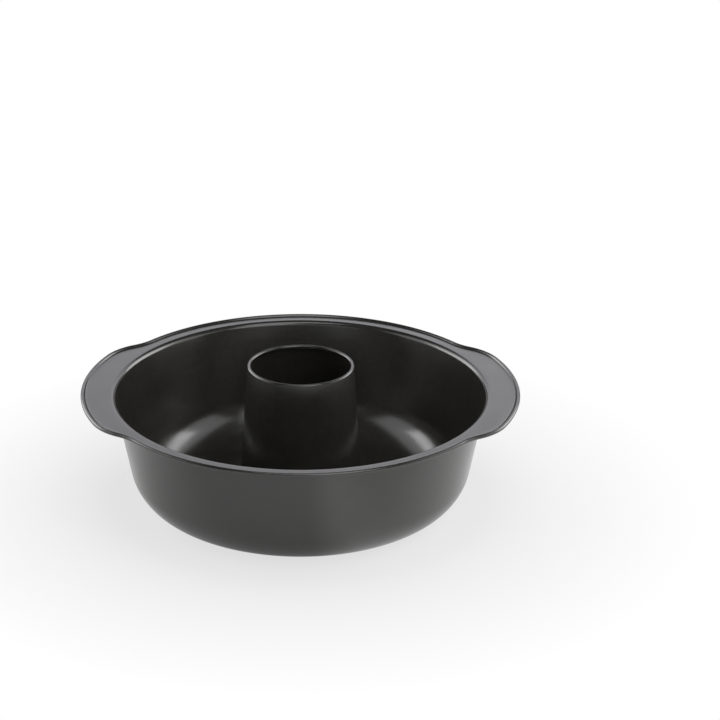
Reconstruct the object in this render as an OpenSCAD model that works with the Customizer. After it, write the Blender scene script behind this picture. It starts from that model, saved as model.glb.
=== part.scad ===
// Ring cake pan: one steel sheet, drawn into a round bowl with an open tube in the middle.
// The wall bends out into a flat flange with two ears, and the edge is rolled all the way round.
// Millimetres, +Z up. The origin is on the table, under the middle of the tube. The ears lie along X.

/* [Sheet] */
// Thickness of the coated sheet
sheet_t = 0.7; // [0.4:0.1:1]

/* [Bowl] */
// Height of the flange's upper face above the table
flange_h = 80.8; // [60:0.2:100]
// Diameter of the opening, where the flat flange starts to bend down
opening_d = 260; // [220:1:300]
// Slope of the wall away from upright, in degrees
wall_slope = 11.1; // [4:0.1:16]
// Radius of the bend from the flange into the wall, on its upper face
lip_r = 3.5; // [2:0.5:10]
// Radius of the corner between the wall and the floor, on its outer face
corner_r = 33; // [15:1:45]

/* [Tube] */
// Height of the tube's top above the flange's upper face
tube_rise = 19.2; // [-20:0.2:30]
// Outer diameter of the tube at its top
tube_d = 73; // [50:1:100]
// Slope of the tube's wall away from upright, in degrees
tube_slope = 3.9; // [1:0.1:8]
// Radius of the fillet from the floor into the tube, on its upper face
tube_foot_r = 8; // [3:1:20]
// Width of the round edge that the top of the tube is turned in to
tube_edge_w = 2.4; // [2.2:0.1:4]
// Depth of the turned-in edge below its round
tube_edge_drop = 1; // [0.5:0.1:4]

/* [Rim] */
// Width of the flat flange, between its bend and the fillet at the rolled edge
flange_w = 5.2; // [2:0.1:15]
// Outer diameter of the rolled edge
roll_d = 2.8; // [2.6:0.1:5]
// Height of the rolled edge above the flange's upper face
roll_rise = 1.5; // [0.8:0.1:2.4]
// Radius of the fillet from the flange up into the rolled edge, on its upper face
roll_foot_r = 2; // [0.5:0.1:4]
// Angle that the sheet is wound through in the rolled edge, in degrees
roll_turn = 285; // [220:5:300]

/* [Ears] */
// How far each ear stands out past the round rim
ear_reach = 11; // [4:0.5:25]
// Length of each ear's long outer curve, straight across
ear_len = 117; // [80:1:140]
// Radius of each ear's long outer curve
ear_curve_r = 143; // [110:1:200]
// Radius of the two round corners of each ear
ear_corner_r = 41; // [15:1:50]
// Radius of the hollow curves that lead each ear into the round rim
ear_hollow_r = 38; // [15:1:60]

/* [Hidden] */
$fn = 144;
coating_colour = [0.2, 0.2, 0.21];

half_t = sheet_t / 2;
flange_mid_h = flange_h - half_t;

// Steps along the curves
bend_steps = 10;
corner_steps = 16;
foot_steps = 8;
edge_steps = 10;
roll_foot_steps = 2;
roll_steps = 9;
ear_curve_steps = 6;
ear_corner_steps = 6;
ear_hollow_steps = 4;
rim_steps = 16;

// Radii of the sheet's middle line in each bend
lip_mid = lip_r - half_t;
corner_mid = corner_r - half_t;
foot_mid = tube_foot_r + half_t;
edge_mid = tube_edge_w / 2 - half_t;
roll_mid = roll_d / 2 - half_t;
roll_foot_mid = roll_foot_r + half_t;

// Middle of the wall's two bends, as [radius, height]
opening_r = opening_d / 2;
lip_c = [opening_r, flange_mid_h - lip_mid];
wall_top = lip_c + lip_mid * [-cos(wall_slope), sin(wall_slope)];
corner_h = corner_r;
wall_foot_h = corner_h - corner_mid * sin(wall_slope);
corner_c = [
    wall_top[0] - (wall_top[1] - wall_foot_h) * tan(wall_slope) - corner_mid * cos(wall_slope),
    corner_h
];

// Middle of the tube's two bends, as [radius, height]
edge_c = [(tube_d - tube_edge_w) / 2, flange_h + tube_rise - tube_edge_w / 2];
tube_top = edge_c + edge_mid * [cos(tube_slope), sin(tube_slope)];
foot_h = sheet_t + tube_foot_r;
tube_base_h = foot_h - foot_mid * sin(tube_slope);
foot_c = [
    tube_top[0] + (tube_top[1] - tube_base_h) * tan(tube_slope) + foot_mid * cos(tube_slope),
    foot_h
];

// The rolled edge, as [distance in from the outer edge, height]
roll_c = [roll_d / 2, flange_h + roll_rise - roll_d / 2];
roll_foot_lift = flange_mid_h + roll_foot_mid - roll_c[1];
roll_start = asin(roll_foot_lift / (roll_foot_mid + roll_mid));
roll_foot_c = [
    roll_c[0] + (roll_foot_mid + roll_mid) * cos(roll_start),
    flange_mid_h + roll_foot_mid
];

// The rim and its lap over the flange of the bowl
rim_r = opening_r + flange_w + roll_foot_c[0];
lap_in_r = opening_r + flange_w * 0.3;
lap_out_r = opening_r + flange_w * 0.7;

// Middles of the three curves of the ear on the +X side, each tangent to the next
ear_curve_c = [rim_r + ear_reach - ear_curve_r, 0];
ear_curve_end = asin(ear_len / 2 / ear_curve_r);
ear_corner_c = ear_curve_c
    + (ear_curve_r - ear_corner_r) * [cos(ear_curve_end), sin(ear_curve_end)];
ear_corner_far = norm(ear_corner_c);
hollow_far = rim_r + ear_hollow_r;
hollow_to_corner = ear_corner_r + ear_hollow_r;
hollow_turn = acos(
    (hollow_far ^ 2 + ear_corner_far ^ 2 - hollow_to_corner ^ 2) / (2 * hollow_far * ear_corner_far)
);
rim_start = atan2(ear_corner_c[1], ear_corner_c[0]) + hollow_turn;
hollow_c = hollow_far * [cos(rim_start), sin(rim_start)];
corner_to_hollow = hollow_c - ear_corner_c;
ear_corner_end = atan2(corner_to_hollow[1], corner_to_hollow[0]);

function direction(angle) = [cos(angle), sin(angle)];

// An arc of the sheet's middle line. Each point is [position, unit normal of the upper face].
// side is 1 where the upper face is on the outside of the bend, and -1 where it is inside.
function arc(middle, r, from, to, steps, side = 1) = [
    for (i = [0:steps])
        let (d = direction(from + (to - from) * i / steps))
        [middle + r * d, side * d]
];

// The closed outline of a sheet that follows a middle line
function sheet_outline(line) = concat(
    [for (p = line) p[0] + half_t * p[1]],
    [for (i = [len(line) - 1:-1:0]) line[i][0] - half_t * line[i][1]]
);

// From the flange down the wall, along the floor, up the tube and into its turned-in edge
bowl_line = concat(
    [[[lap_out_r, flange_mid_h], [0, 1]]],
    arc(lip_c, lip_mid, 90, 180 - wall_slope, bend_steps),
    arc(corner_c, corner_mid, -wall_slope, -90, corner_steps, -1),
    arc(foot_c, foot_mid, 270, 180 + tube_slope, foot_steps, -1),
    arc(edge_c, edge_mid, tube_slope, 180, edge_steps),
    [[edge_c + [-edge_mid, -tube_edge_drop], [-1, 0]]]
);

// From the flange up into the rolled edge, over its top and round underneath
roll_line = concat(
    arc(roll_foot_c, roll_foot_mid, 270, 180 + roll_start, roll_foot_steps, -1),
    [for (i = [1:roll_steps]) arc(roll_c, roll_mid, roll_start, roll_start + roll_turn, roll_steps)[i]]
);
roll_section = sheet_outline(roll_line);

// An arc of the outer edge seen from above. Each point is [position, unit normal outwards].
// The first point of each arc is left out, because the arc before it ends there.
function edge_arc(middle, r, from, to, steps, side = 1) = [
    for (i = [1:steps])
        let (d = direction(from + (to - from) * i / steps))
        [middle + side * r * d, d]
];

ear_tip = [[[rim_r + ear_reach, 0], [1, 0]]];
quarter_edge = concat(
    ear_tip,
    edge_arc(ear_curve_c, ear_curve_r, 0, ear_curve_end, ear_curve_steps),
    edge_arc(ear_corner_c, ear_corner_r, ear_curve_end, ear_corner_end, ear_corner_steps),
    edge_arc(hollow_c, ear_hollow_r, ear_corner_end, rim_start, ear_hollow_steps, -1),
    edge_arc([0, 0], rim_r, rim_start, 90, rim_steps)
);

function mirror_x(p) = [[-p[0][0], p[0][1]], [-p[1][0], p[1][1]]];

// Half the edge, from the tip of one ear to just short of the tip of the other
half_edge = concat(
    quarter_edge,
    [for (i = [len(quarter_edge) - 2:-1:1]) mirror_x(quarter_edge[i])]
);
outer_edge = concat(half_edge, [for (p = half_edge) [-p[0], -p[1]]]);

// The section of the rolled rim at one point of the outer edge, closed on the flange's lap circle
function rim_section(p) =
    let (lap = lap_in_r * p[0] / norm(p[0]))
    concat(
        [[lap[0], lap[1], flange_mid_h + half_t]],
        [
            for (s = roll_section)
                let (q = p[0] - s[0] * p[1])
                [q[0], q[1], s[1]]
        ],
        [[lap[0], lap[1], flange_mid_h - half_t]]
    );

module bowl() {
    rotate_extrude() polygon(sheet_outline(bowl_line));
}

// The section carried along the outer edge, ears included
module rolled_rim() {
    stations = len(outer_edge);
    ring = len(roll_section) + 2;
    polyhedron(
        points = [for (p = outer_edge) each rim_section(p)],
        faces = [
            for (i = [0:stations - 1], k = [0:ring - 1])
                let (here = i * ring, next = (i + 1) % stations * ring, k2 = (k + 1) % ring)
                [here + k, next + k, next + k2, here + k2]
        ],
        convexity = 8
    );
}

module pan() {
    color(coating_colour)
        union() {
            bowl();
            rolled_rim();
        }
}

pan();
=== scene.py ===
"""Looks of the ring cake pan: its coated sheet, and a studio with a pale table and soft light."""

import math

import bpy
import numpy as np
from mathutils import Matrix, Vector


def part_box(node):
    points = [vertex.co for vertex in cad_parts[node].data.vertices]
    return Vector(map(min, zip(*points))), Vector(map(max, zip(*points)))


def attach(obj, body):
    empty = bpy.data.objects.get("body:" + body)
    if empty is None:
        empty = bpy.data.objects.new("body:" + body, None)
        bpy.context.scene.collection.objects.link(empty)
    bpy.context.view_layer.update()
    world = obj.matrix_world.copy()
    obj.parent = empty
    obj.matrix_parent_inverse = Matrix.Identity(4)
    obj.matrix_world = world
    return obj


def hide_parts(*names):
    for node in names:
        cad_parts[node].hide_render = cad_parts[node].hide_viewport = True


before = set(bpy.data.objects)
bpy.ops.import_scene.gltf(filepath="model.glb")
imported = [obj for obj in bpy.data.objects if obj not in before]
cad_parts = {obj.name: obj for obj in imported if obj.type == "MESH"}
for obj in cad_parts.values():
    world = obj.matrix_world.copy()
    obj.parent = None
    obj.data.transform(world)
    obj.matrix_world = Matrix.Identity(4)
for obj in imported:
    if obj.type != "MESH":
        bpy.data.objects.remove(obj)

bl_info = {
    "name": "Ring cake pan",
    "version": (1, 0, 0),
    "blender": (4, 5, 0),
    "location": "3D View > Sidebar > Cake pan",
    "description": "Builds a ring cake pan of coated steel and a studio to show it in",
    "category": "Add Mesh",
}

PAN_NODE = "pan"
BODY = "root"
_, BOX_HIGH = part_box(PAN_NODE)


def direction(angle):
    """Unit vectors at these angles, as an array of shape (n, 2)."""
    return np.stack([np.cos(angle), np.sin(angle)], -1)


def arc(middle, radius, start, end, steps, side=1.0):
    """Points and unit normals along an arc, angles in radians.

    The point at angle a is middle + radius * (cos a, sin a). Its normal is side * (cos a, sin a).
    """
    d = direction(np.linspace(start, end, steps + 1))
    return np.asarray(middle) + radius * d, side * d


def line(start, end, normal, steps):
    """Points and unit normals between two points, without the points themselves."""
    share = (np.arange(1, steps) / steps)[:, None]
    start, end = np.asarray(start), np.asarray(end)
    return start + share * (end - start), np.tile(normal, (steps - 1, 1))


def joined(*runs):
    """Runs of points and normals, one after the other."""
    return np.concatenate([r[0] for r in runs]), np.concatenate([r[1] for r in runs])


def bowl_line(s):
    """Middle line of the sheet from the tube's turned-in edge to the start of the flange.

    Points are (radius, height). The line is arcs and straight stretches, each tangent to the next:
    the turned-in edge, the tube, the fillet at its foot, the floor, the round corner, the wall and
    the bend into the flange. Normals point out of the sheet's upper face.
    """
    half_t = s.sheet / 2
    lip_mid, corner_mid = s.lip_radius - half_t, s.corner_radius - half_t
    foot_mid, edge_mid = s.foot_radius + half_t, s.tube_edge / 2 - half_t
    lip_c = np.array([s.opening / 2, s.flange_height - half_t - lip_mid])
    wall_top = lip_c + lip_mid * np.array([-math.cos(s.wall_slope), math.sin(s.wall_slope)])
    wall_foot = s.corner_radius - corner_mid * math.sin(s.wall_slope)
    corner_x = (
        wall_top[0]
        - (wall_top[1] - wall_foot) * math.tan(s.wall_slope)
        - corner_mid * math.cos(s.wall_slope)
    )
    corner_c = np.array([corner_x, s.corner_radius])
    edge_c = np.array([(s.tube_top - s.tube_edge) / 2, BOX_HIGH.z - s.tube_edge / 2])
    foot_h = s.sheet + s.foot_radius
    tube_top = edge_c + edge_mid * np.array([math.cos(s.tube_slope), math.sin(s.tube_slope)])
    tube_foot = foot_h - foot_mid * math.sin(s.tube_slope)
    foot_x = (
        tube_top[0]
        + (tube_top[1] - tube_foot) * math.tan(s.tube_slope)
        + foot_mid * math.cos(s.tube_slope)
    )
    foot_c = np.array([foot_x, foot_h])
    edge_end = edge_c + np.array([-edge_mid, -s.tube_edge_drop])
    edge = arc(edge_c, edge_mid, math.pi, s.tube_slope, EDGE_STEPS)
    foot = arc(foot_c, foot_mid, math.pi + s.tube_slope, 1.5 * math.pi, FOOT_STEPS, -1.0)
    corner = arc(corner_c, corner_mid, -math.pi / 2, -s.wall_slope, CORNER_STEPS, -1.0)
    lip = arc(lip_c, lip_mid, math.pi - s.wall_slope, math.pi / 2, LIP_STEPS)
    return joined(
        (edge_end[None], np.array([[-1.0, 0.0]])),
        edge,
        line(edge[0][-1], foot[0][0], foot[1][0], TUBE_STEPS),
        foot,
        line(foot[0][-1], corner[0][0], (0.0, 1.0), FLOOR_STEPS),
        corner,
        line(corner[0][-1], lip[0][0], lip[1][0], WALL_STEPS),
        lip,
    )


def roll_line(s):
    """Middle line of the sheet from the flat flange round the rolled edge.

    Points are (distance in from the outer edge, height). A fillet leads up from the flange, tangent
    to a circle that the sheet then follows over its top, down its outside and back underneath.
    """
    half_t = s.sheet / 2
    roll_mid, foot_mid = s.roll / 2 - half_t, s.roll_foot + half_t
    flange_mid = s.flange_height - half_t
    roll_c = np.array([s.roll / 2, s.flange_height + s.roll_rise - s.roll / 2])
    start = math.asin((flange_mid + foot_mid - roll_c[1]) / (foot_mid + roll_mid))
    foot_c = np.array([roll_c[0] + (foot_mid + roll_mid) * math.cos(start), flange_mid + foot_mid])
    foot = arc(foot_c, foot_mid, 1.5 * math.pi, math.pi + start, ROLL_FOOT_STEPS, -1.0)
    roll = arc(roll_c, roll_mid, start, start + s.roll_turn, ROLL_STEPS)
    return joined(foot, (roll[0][1:], roll[1][1:]))


def ear_curves(s, rim_r, reach_r):
    """The arcs of a quarter of the outer edge, seen from above.

    Each is (middle, radius, start, end, side, steps). The ear's long curve is centred on the X
    axis. Its corner touches it from inside, and the hollow curve touches the corner and the round
    rim from outside, which fixes its middle by the cosine rule.
    """
    curve_c = np.array([reach_r - s.ear_curve, 0.0])
    curve_end = math.asin(s.ear_length / 2 / s.ear_curve)
    corner_c = curve_c + (s.ear_curve - s.ear_corner) * direction(curve_end)
    corner_far, hollow_far = np.linalg.norm(corner_c), rim_r + s.ear_hollow
    reach = s.ear_corner + s.ear_hollow
    turn = math.acos((hollow_far**2 + corner_far**2 - reach**2) / (2 * hollow_far * corner_far))
    rim_start = math.atan2(corner_c[1], corner_c[0]) + turn
    hollow_c = hollow_far * direction(rim_start)
    corner_end = math.atan2(*(hollow_c - corner_c)[::-1])
    return [
        (curve_c, s.ear_curve, 0.0, curve_end, 1.0, EAR_CURVE_STEPS),
        (corner_c, s.ear_corner, curve_end, corner_end, 1.0, EAR_CORNER_STEPS),
        (hollow_c, s.ear_hollow, corner_end, rim_start, -1.0, EAR_HOLLOW_STEPS),
        (np.zeros(2), rim_r, rim_start, math.pi / 2, 1.0, RIM_STEPS),
    ]


def outer_edge(s):
    """Points and outward normals round the whole outer edge, as arrays of shape (n, 2).

    A quarter is its arcs one after the other. The rest is that quarter mirrored in X, then both
    turned half round.
    """
    points, normals = [np.array([[BOX_HIGH.x, 0.0]])], [np.array([[1.0, 0.0]])]
    for middle, radius, start, end, side, steps in ear_curves(s, BOX_HIGH.y, BOX_HIGH.x):
        d = direction(np.linspace(start, end, steps + 1)[1:])
        points.append(middle + side * radius * d)
        normals.append(d)
    quarter = np.concatenate(points), np.concatenate(normals)
    flip = np.array([-1.0, 1.0])
    half = [np.concatenate([q, q[-2:0:-1] * flip]) for q in quarter]
    return [np.concatenate([h, -h]) for h in half]


def pan_grid(s):
    """Every point of the pan, as an array of shape (round the edge, round the sheet's section, 3).

    The section runs along the upper face from the tube to the rolled edge and back along the lower
    face. In the bowl it is carried round the Z axis. On the rolled edge it is carried along the
    outer edge, square to it. The flat flange joins the two by straight lines, so it is as wide as
    the rim or the ear is there.
    """
    edge, outward = outer_edge(s)
    round_axis = edge / np.linalg.norm(edge, axis=1, keepdims=True)
    bowl, bowl_n = bowl_line(s)
    roll, roll_n = roll_line(s)
    share = (np.arange(1, FLANGE_STEPS) / FLANGE_STEPS)[None, :, None]
    faces = []
    for offset in (s.sheet / 2, -s.sheet / 2):
        inner = bowl + offset * bowl_n
        outer = roll + offset * roll_n
        inside = np.concatenate(
            [
                round_axis[:, None, :] * inner[None, :, :1],
                np.broadcast_to(inner[None, :, 1:], (len(edge), len(inner), 1)),
            ],
            -1,
        )
        outside = np.concatenate(
            [
                edge[:, None, :] - outward[:, None, :] * outer[None, :, :1],
                np.broadcast_to(outer[None, :, 1:], (len(edge), len(outer), 1)),
            ],
            -1,
        )
        flange = inside[:, -1:] + share * (outside[:, :1] - inside[:, -1:])
        faces.append(np.concatenate([inside, flange, outside], 1))
    return np.concatenate([faces[0], faces[1][:, ::-1]], 1)


def grid_mesh(name, grid):
    """A closed mesh of quads over a grid that wraps both ways, with its faces outwards."""
    rounds, across = grid.shape[:2]
    i, k = np.meshgrid(np.arange(rounds), np.arange(across), indexing="ij")
    i2, k2 = (i + 1) % rounds, (k + 1) % across
    quads = np.stack([i * across + k, i * across + k2, i2 * across + k2, i2 * across + k], -1)
    mesh = bpy.data.meshes.new(name)
    mesh.from_pydata(grid.reshape(-1, 3), [], quads.reshape(-1, 4))
    mesh.polygons.foreach_set("use_smooth", np.ones(len(mesh.polygons), bool))
    mesh.update()
    return mesh


def add_object(name, mesh, material=None):
    """A new object at the origin with this mesh, in the scene."""
    piece = bpy.data.objects.new(name, mesh)
    bpy.context.scene.collection.objects.link(piece)
    if material:
        mesh.materials.append(material)
    return piece


# Steps along the curves of the sheet's section
EDGE_STEPS = 12
TUBE_STEPS = 5
FOOT_STEPS = 12
FLOOR_STEPS = 4
CORNER_STEPS = 24
WALL_STEPS = 5
LIP_STEPS = 12
FLANGE_STEPS = 4
ROLL_FOOT_STEPS = 5
ROLL_STEPS = 22
# Steps along the arcs of a quarter of the outer edge
EAR_CURVE_STEPS = 18
EAR_CORNER_STEPS = 16
EAR_HOLLOW_STEPS = 12
RIM_STEPS = 50


def length(name, description, default):
    """A length property, in metres."""
    return bpy.props.FloatProperty(
        name=name, description=description, default=default, min=0.0, unit="LENGTH", precision=4
    )


def angle(name, description, degrees):
    """An angle property. Its default is given in degrees."""
    return bpy.props.FloatProperty(
        name=name, description=description, default=math.radians(degrees), subtype="ANGLE"
    )


class PanShape(bpy.types.PropertyGroup):
    """Sizes of the pan. Its rim's radius, ears' reach and height come from the frame."""

    sheet: length("Sheet", "Thickness of the coated sheet", 0.0007)
    flange_height: length("Flange height", "Height of the flange's upper face", 0.0808)
    opening: length("Opening", "Diameter where the flange starts to bend down", 0.260)
    wall_slope: angle("Wall slope", "Slope of the wall away from upright", 11.1)
    lip_radius: length("Lip radius", "Radius of the bend from flange to wall", 0.0035)
    corner_radius: length("Corner radius", "Radius of the corner between wall and floor", 0.033)
    tube_top: length("Tube top", "Outer diameter of the tube at its top", 0.073)
    tube_slope: angle("Tube slope", "Slope of the tube away from upright", 3.9)
    foot_radius: length("Foot radius", "Radius of the fillet at the tube's foot", 0.008)
    tube_edge: length("Tube edge", "Width of the tube's turned-in edge", 0.0024)
    tube_edge_drop: length("Tube edge drop", "Depth of the turned-in edge below its round", 0.001)
    roll: length("Rolled edge", "Outer diameter of the rolled edge", 0.0028)
    roll_rise: length("Roll rise", "Height of the rolled edge above the flange", 0.0015)
    roll_foot: length("Roll fillet", "Radius of the fillet up into the rolled edge", 0.002)
    roll_turn: angle("Roll turn", "Angle that the sheet is wound through", 285.0)
    ear_length: length("Ear length", "Length of the ear's long outer curve", 0.117)
    ear_curve: length("Ear curve", "Radius of the ear's long outer curve", 0.143)
    ear_corner: length("Ear corner", "Radius of the ear's round corners", 0.041)
    ear_hollow: length("Ear hollow", "Radius of the hollow curves beside the ear", 0.038)


class Coating(bpy.types.PropertyGroup):
    """Finish of the non-stick coating."""

    colour: bpy.props.FloatVectorProperty(
        name="Colour", description="Colour of the coating",
        subtype="COLOR", size=3, default=(0.0165, 0.0159, 0.0137), min=0.0, max=1.0,
    )
    fleck: bpy.props.FloatVectorProperty(
        name="Fleck colour", description="Colour of the fine mineral flecks in the coating",
        subtype="COLOR", size=3, default=(0.038, 0.036, 0.032), min=0.0, max=1.0,
    )
    roughness: bpy.props.FloatProperty(
        name="Roughness", description="Roughness of the satin surface",
        default=0.20, min=0.0, max=1.0,
    )
    peel: length("Orange peel", "Depth of the fine waviness of the sprayed coating", 0.000012)


class Studio(bpy.types.PropertyGroup):
    """Camera and light."""

    distance: length("Camera distance", "From the camera to the middle of the rim", 1.837)
    elevation: angle("Elevation", "Height of the camera above the horizon", 23.24)
    azimuth: angle("Azimuth", "Turn of the camera round the pan", 0.8)
    yaw: angle("Yaw", "Turn of the camera's view to the right", 1.267)
    pitch: angle("Pitch", "Turn of the camera's view upwards", 0.647)
    lens: bpy.props.FloatProperty(
        name="Lens", description="Focal length of the camera in millimetres",
        default=133.88, min=1.0,
    )
    table_colour: bpy.props.FloatVectorProperty(
        name="Table colour", description="Colour of the table and the backdrop",
        subtype="COLOR", size=3, default=(0.62, 0.62, 0.62), min=0.0, max=1.0,
    )
    lamps: bpy.props.FloatProperty(
        name="Lamps", description="Strength of all the lamps together",
        default=1.0, min=0.0,
    )


def add_node(tree, kind, **values):
    """A new node with these values in its sockets."""
    node = tree.nodes.new(kind)
    for name, value in values.items():
        node.inputs[name.replace("_", " ")].default_value = value
    return node


def add_noise(tree, place, scale, detail):
    """Noise with this many waves a metre, read at a place on the object, about 0.5 in the mean."""
    node = add_node(tree, "ShaderNodeTexNoise", Scale=scale, Detail=detail, Roughness=0.5)
    tree.links.new(place, node.inputs["Vector"])
    return node.outputs["Fac"]


def spread(tree, value, low, high, to_low, to_high):
    """A value carried in a straight line from low..high to to_low..to_high, held at the ends."""
    ends = {"From_Min": low, "From_Max": high, "To_Min": to_low, "To_Max": to_high}
    node = add_node(tree, "ShaderNodeMapRange", **ends)
    tree.links.new(value, node.inputs["Value"])
    return node.outputs["Result"]


def math_node(tree, operation, first, second):
    """The result of this operation on two values."""
    node = tree.nodes.new("ShaderNodeMath")
    node.operation = operation
    tree.links.new(first, node.inputs[0])
    tree.links.new(second, node.inputs[1])
    return node.outputs["Value"]


# The coating's noises: waves a metre and levels of detail
CLOUD_NOISE = (28.0, 5.0)
MOTTLE_NOISE = (260.0, 2.0)
FLECK_NOISE = (1900.0, 0.0)
PEEL_NOISE = (520.0, 2.0)
# Values of a noise that hold nearly all of it, and the change of roughness between them
NOISE_SPAN = (0.3, 0.7)
CLOUD_DRIFT = 0.03
# Shares of the fleck colour: noise from, noise to, share at from, share at to
MOTTLE_SHARE = (*NOISE_SPAN, 0.0, 0.3)
FLECK_SHARE = (0.58, 0.76, 0.0, 1.0)
COATING_IOR = 2.0


def coating_material(c):
    """Dark satin non-stick coating.

    Its roughness drifts over some centimetres, and its colour is mottled over some millimetres.
    Fine flecks, half a millimetre apart, lighten it a little. A shallow waviness of two
    millimetres, as sprayed coatings have, breaks up the reflections.
    """
    material = bpy.data.materials.new("nonstick_coating")
    material.use_nodes = True
    tree = material.node_tree
    shader = tree.nodes["Principled BSDF"]
    shader.inputs["IOR"].default_value = COATING_IOR
    place = tree.nodes.new("ShaderNodeTexCoord").outputs["Object"]
    cloud = add_noise(tree, place, *CLOUD_NOISE)
    smooth, rough = c.roughness - CLOUD_DRIFT, c.roughness + CLOUD_DRIFT
    tree.links.new(spread(tree, cloud, *NOISE_SPAN, smooth, rough), shader.inputs["Roughness"])
    flecks = spread(tree, add_noise(tree, place, *FLECK_NOISE), *FLECK_SHARE)
    mottle = spread(tree, add_noise(tree, place, *MOTTLE_NOISE), *MOTTLE_SHARE)
    mix = tree.nodes.new("ShaderNodeMix")
    mix.data_type = "RGBA"
    mix.inputs["A"].default_value = (*c.colour, 1.0)
    mix.inputs["B"].default_value = (*c.fleck, 1.0)
    tree.links.new(math_node(tree, "ADD", flecks, mottle), mix.inputs["Factor"])
    tree.links.new(mix.outputs["Result"], shader.inputs["Base Color"])
    bump = add_node(tree, "ShaderNodeBump", Strength=1.0, Distance=c.peel)
    tree.links.new(add_noise(tree, place, *PEEL_NOISE), bump.inputs["Height"])
    tree.links.new(bump.outputs["Normal"], shader.inputs["Normal"])
    return material


class MakePan(bpy.types.Operator):
    """Make the pan's sheet, one closed surface with its rolled edge"""

    bl_idname = "cake_pan.make_pan"
    bl_label = "Make the pan"

    def execute(self, context):
        mesh = grid_mesh("coated_sheet", pan_grid(context.scene.pan_shape))
        pan = add_object("coated_sheet", mesh, coating_material(context.scene.pan_coating))
        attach(pan, BODY)
        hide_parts(PAN_NODE)
        return {"FINISHED"}


CAMERA_CLIP_END = 20.0


def add_camera(studio, target):
    """Camera on a sphere round the target, turned aside so that the pan lies left of the middle."""
    camera = bpy.data.objects.new("camera", bpy.data.cameras.new("camera"))
    bpy.context.scene.collection.objects.link(camera)
    camera.data.lens = studio.lens
    camera.data.clip_end = CAMERA_CLIP_END
    turn = Matrix.Rotation(studio.azimuth, 4, "Z")
    tilt = Matrix.Rotation(math.pi / 2 - studio.elevation, 4, "X")
    look = Matrix.Rotation(-studio.yaw, 4, "Y") @ Matrix.Rotation(studio.pitch, 4, "X")
    away = Matrix.Translation((0.0, 0.0, studio.distance))
    camera.matrix_world = Matrix.Translation(target) @ turn @ tilt @ away @ look
    bpy.context.scene.camera = camera


def ray_kinds(tree):
    """Whether a ray is the camera's, and whether it is reflected or refracted, each as 1 or 0."""
    path = tree.nodes.new("ShaderNodeLightPath").outputs
    glossy = math_node(tree, "MAXIMUM", path["Is Glossy Ray"], path["Is Transmission Ray"])
    return path["Is Camera Ray"], glossy


def matt_material(name, colour):
    """A matt surface of one colour, for mix_to_white to finish."""
    material = bpy.data.materials.new(name)
    material.use_nodes = True
    shader = material.node_tree.nodes["Principled BSDF"]
    shader.inputs["Base Color"].default_value = (*colour, 1.0)
    shader.inputs["Roughness"].default_value = 1.0
    shader.inputs["Specular IOR Level"].default_value = 0.0
    return material


def mix_to_white(material, factor, white=(1.0, 1.0, 1.0)):
    """Mix the material's surface with a plain white by a factor from the node tree."""
    tree = material.node_tree
    glow = add_node(tree, "ShaderNodeEmission", Color=(*white, 1.0), Strength=1.0)
    mix = tree.nodes.new("ShaderNodeMixShader")
    tree.links.new(factor, mix.inputs[0])
    tree.links.new(tree.nodes["Principled BSDF"].outputs[0], mix.inputs[1])
    tree.links.new(glow.outputs[0], mix.inputs[2])
    tree.links.new(mix.outputs[0], tree.nodes["Material Output"].inputs["Surface"])


def coordinates(tree):
    """A place on the object as its x, its y and its distance from the origin."""
    place = tree.nodes.new("ShaderNodeTexCoord").outputs["Object"]
    parts = tree.nodes.new("ShaderNodeSeparateXYZ")
    tree.links.new(place, parts.inputs[0])
    distance = tree.nodes.new("ShaderNodeVectorMath")
    distance.operation = "LENGTH"
    tree.links.new(place, distance.inputs[0])
    return parts.outputs["X"], parts.outputs["Y"], distance.outputs["Value"]


def table_material(studio):
    """A matt pale table.

    What the camera sees of it turns to plain white away from the pan and its shadow. What the pan
    reflects of it carries painted light: it is painted whiter to the right, behind and close under
    the pan, and is left in its own shade in front of it on the left.
    """
    material = matt_material("table", studio.table_colour)
    tree = material.node_tree
    x, y, distance = coordinates(tree)
    # Painted light: white that the pan reflects of the table, painted on by place rather than cast
    # by the lamps
    reflected = spread(tree, x, *TABLE_PAINTED_LIGHT_RIGHT)
    for place, share in ((x, TABLE_PAINTED_LIGHT_FADE_FAR_RIGHT), (y, TABLE_PAINTED_LIGHT_BACK), (distance, TABLE_PAINTED_BOUNCE_FOOT)):
        reflected = math_node(tree, "ADD", reflected, spread(tree, place, *share))
    reflected = math_node(tree, "MULTIPLY", reflected, spread(tree, distance, *TABLE_NO_PAINTED_LIGHT_UNDER_TUBE))
    camera, glossy = ray_kinds(tree)
    seen = math_node(tree, "MULTIPLY", spread(tree, distance, *TABLE_WHITE), camera)
    # The painted light shows only in reflections
    mirrored = math_node(tree, "MULTIPLY", reflected, glossy)
    mix_to_white(material, math_node(tree, "MAXIMUM", seen, mirrored))
    return material


def backdrop_material(studio):
    """A screen seen, directly and reflected, as white, a little cool, with painted shade darker to
    the left.
    """
    material = matt_material("backdrop", studio.table_colour)
    tree = material.node_tree
    x, _, _ = coordinates(tree)
    seen = math_node(tree, "MAXIMUM", *ray_kinds(tree))
    # Painted shade: less white to the left, standing in for the screen's light falling off
    share = math_node(tree, "MULTIPLY", spread(tree, x, *BACKDROP_PAINTED_SHADE_LEFT), seen)
    mix_to_white(material, share, BACKDROP_WHITE)
    return material


def table_mesh():
    """A flat square, with its middle under the pan."""
    mesh = bpy.data.meshes.new("table")
    corners = TABLE_HALF * np.array([(-1, -1, 0), (1, -1, 0), (1, 1, 0), (-1, 1, 0)])
    mesh.from_pydata(corners, [], [(0, 1, 2, 3)])
    return mesh


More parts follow.
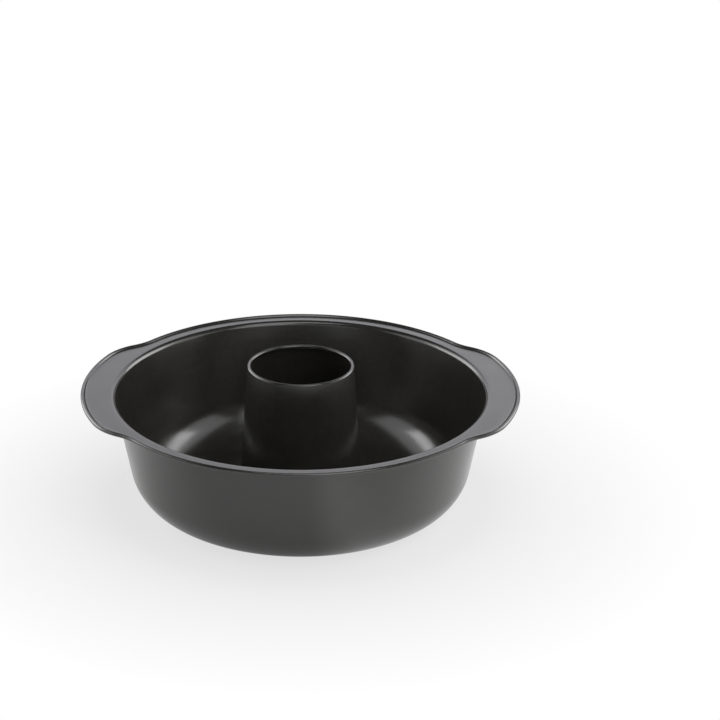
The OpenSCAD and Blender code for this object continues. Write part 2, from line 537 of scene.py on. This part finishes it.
def backdrop_mesh():
    """A curved screen behind the pan: radius times (cos a, sin a), upright between two heights."""
    a = np.radians(np.linspace(*BACKDROP_ANGLES, BACKDROP_STEPS + 1))
    ring = np.column_stack([BACKDROP_RADIUS * direction(a), np.zeros(len(a))])
    foot, top = (ring + [0.0, 0.0, height] for height in BACKDROP_HEIGHTS)
    i, n = np.arange(BACKDROP_STEPS), len(a)
    mesh = bpy.data.meshes.new("backdrop")
    mesh.from_pydata(np.concatenate([foot, top]), [], np.column_stack([i, i + n, i + n + 1, i + 1]))
    return mesh


def add_soft_box(name, azimuth, elevation, distance, width, height, level, reflected):
    """A soft box that faces the pan. At a level of 1 its face is as bright as white."""
    light = bpy.data.lights.new(name, "AREA")
    light.shape = "RECTANGLE"
    light.size, light.size_y = width, height
    light.energy = math.pi * width * height * level
    lamp = bpy.data.objects.new(name, light)
    bpy.context.scene.collection.objects.link(lamp)
    turn = Matrix.Rotation(math.radians(azimuth + 90), 4, "Z")
    tilt = Matrix.Rotation(math.radians(90 - elevation), 4, "X")
    away = Matrix.Translation((0.0, 0.0, distance))
    lamp.matrix_world = Matrix.Translation(LAMP_TARGET) @ turn @ tilt @ away
    lamp.visible_camera = False
    lamp.visible_glossy = reflected


LAMP_TARGET = Vector((0.0, 0.0, 0.06))
# Name, azimuth and elevation in degrees (azimuth 90 is behind the pan), distance, width and
# height in metres, level, and whether it is seen reflected
LAMPS = (
    ("right_core", 29.0, 21.0, 1.25, 0.94, 0.70, 2.4, True),
    ("right_wide", 13.0, 24.0, 1.25, 1.80, 1.10, 0.72, True),
    ("left_core", 151.0, 20.0, 1.25, 1.04, 0.70, 2.15, True),
    ("left_wide", 162.0, 24.0, 1.25, 2.10, 1.20, 0.74, True),
    ("back_box", 90.0, 18.0, 2.00, 2.60, 0.50, 0.3, True),
    ("key_box", 298.0, 42.0, 1.50, 0.90, 0.90, 1.4, True),
    ("high_box", 282.0, 74.0, 1.50, 1.00, 0.60, 1.5, True),
    ("front_fill", 268.0, 17.0, 1.50, 2.00, 0.40, 0.8, True),
    ("overhead", 270.0, 90.0, 1.60, 1.40, 1.40, 0.5, False),
    ("right_top", 332.0, 42.0, 1.60, 1.20, 1.20, 1.4, False),
)
# Brightness of the world, but for the camera, which sees it white
WORLD_LEVEL = 0.03
TABLE_HALF = 6.0
# Shares of white in the table and the backdrop: place from, place to, share at from, share at to.
# By distance, as the camera sees the table
TABLE_WHITE = (0.13, 0.28, 0.70, 1.0)
# As the pan reflects the table, painted light: shares by x, x, y and distance, added, times one by
# distance
TABLE_PAINTED_LIGHT_RIGHT = (0.012, 0.045, 0.0, 0.36)
TABLE_PAINTED_LIGHT_FADE_FAR_RIGHT = (0.060, 0.100, 0.0, -0.18)
TABLE_PAINTED_LIGHT_BACK = (-0.13, 0.03, 0.0, 0.70)
TABLE_PAINTED_BOUNCE_FOOT = (0.09, 0.15, 0.12, 0.0)
TABLE_NO_PAINTED_LIGHT_UNDER_TUBE = (0.07, 0.09, 0.0, 1.0)
# By x, as the pan reflects the backdrop, whose white is a little cool: painted shade, darker to the
# left
BACKDROP_PAINTED_SHADE_LEFT = (-0.45, 0.10, 0.78, 0.96)
BACKDROP_WHITE = (0.945, 0.935, 1.0)
BACKDROP_RADIUS = 2.6
BACKDROP_HEIGHTS = (0.60, 1.85)
BACKDROP_ANGLES = (50.0, 130.0)
BACKDROP_STEPS = 24


def add_world():
    """A world that the camera sees as plain white, and that lights the pan only faintly."""
    world = bpy.data.worlds.new("studio")
    bpy.context.scene.world = world
    world.use_nodes = True
    tree = world.node_tree
    background = tree.nodes["Background"]
    background.inputs["Color"].default_value = (1.0, 1.0, 1.0, 1.0)
    camera, _ = ray_kinds(tree)
    tree.links.new(spread(tree, camera, 0.0, 1.0, WORLD_LEVEL, 1.0), background.inputs["Strength"])


class MakeStudio(bpy.types.Operator):
    """Make the table, the backdrop, the lamps and the camera"""

    bl_idname = "cake_pan.make_studio"
    bl_label = "Make the studio"

    def execute(self, context):
        studio = context.scene.pan_studio
        add_camera(studio, Vector((0.0, 0.0, context.scene.pan_shape.flange_height)))
        add_world()
        add_object("table", table_mesh(), table_material(studio))
        add_object("backdrop", backdrop_mesh(), backdrop_material(studio))
        for name, *place_and_size, level, reflected in LAMPS:
            add_soft_box(name, *place_and_size, level * studio.lamps, reflected)
        context.scene.view_settings.view_transform = "Standard"
        return {"FINISHED"}


class PanPanel(bpy.types.Panel):
    """Lists the pan's operators and sizes"""

    bl_idname = "VIEW3D_PT_cake_pan"
    bl_label = "Ring cake pan"
    bl_space_type = "VIEW_3D"
    bl_region_type = "UI"
    bl_category = "Cake pan"

    def draw(self, context):
        for operator in (MakePan, MakeStudio):
            self.layout.operator(operator.bl_idname)
        for group in (context.scene.pan_shape, context.scene.pan_coating, context.scene.pan_studio):
            box = self.layout.box()
            for name in type(group).__annotations__:
                box.prop(group, name)


CLASSES = (PanShape, Coating, Studio, MakePan, MakeStudio, PanPanel)


def register():
    for c in CLASSES:
        bpy.utils.register_class(c)
    bpy.types.Scene.pan_shape = bpy.props.PointerProperty(type=PanShape)
    bpy.types.Scene.pan_coating = bpy.props.PointerProperty(type=Coating)
    bpy.types.Scene.pan_studio = bpy.props.PointerProperty(type=Studio)


def unregister():
    del bpy.types.Scene.pan_shape, bpy.types.Scene.pan_coating, bpy.types.Scene.pan_studio
    for c in reversed(CLASSES):
        bpy.utils.unregister_class(c)


def main():
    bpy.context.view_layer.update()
    register()
    bpy.ops.cake_pan.make_pan()
    bpy.ops.cake_pan.make_studio()
    bpy.context.view_layer.update()


if __name__ == "__main__":
    main()
